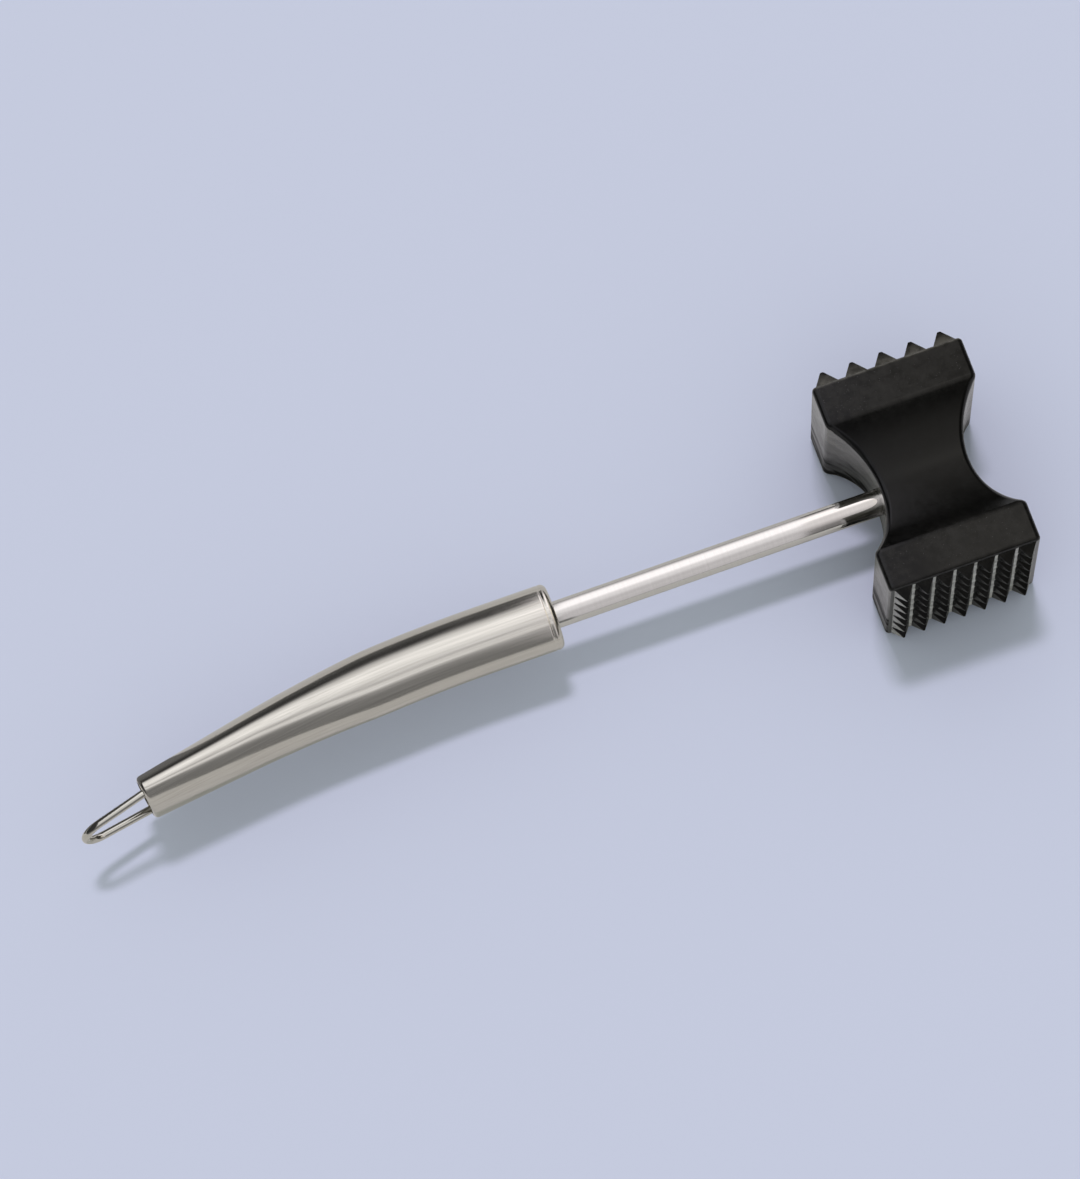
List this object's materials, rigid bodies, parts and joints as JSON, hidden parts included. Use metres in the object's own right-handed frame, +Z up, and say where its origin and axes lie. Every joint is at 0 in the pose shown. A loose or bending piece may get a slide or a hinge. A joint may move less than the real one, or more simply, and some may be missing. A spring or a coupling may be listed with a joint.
{
  "type": "meat mallet",
  "caption": "Meat mallet with an hourglass head, a coarse and a fine toothed face, and a hollow bent handle on a round rod, pressed oval at its tail and ended by a wire loop.",
  "frame": {"origin": "on the surface that the mallet lies on, under the middle of its bounding box", "axes": "+X along the rod from the handle to the head, +Y from the fine teeth to the coarse teeth, +Z up from the side of the head that the mallet lies on"},
  "size_m": [0.286, 0.0732, 0.046],
  "materials": {
    "black_coat": "satin black coating on solid steel",
    "polished_steel": "polished",
    "brushed_steel": "brushed along its length",
    "plain_steel": "plain drawn finish",
    "polished_wire": "polished"
  },
  "bodies": {
    "root": {"head": "black_coat", "rod": "polished_steel", "handle_tube": "brushed_steel", "front_cap": "plain_steel", "tang_bush": "plain_steel", "tail_cap": "plain_steel", "hanging_loop": "polished_wire"}
  },
  "joints": []
}
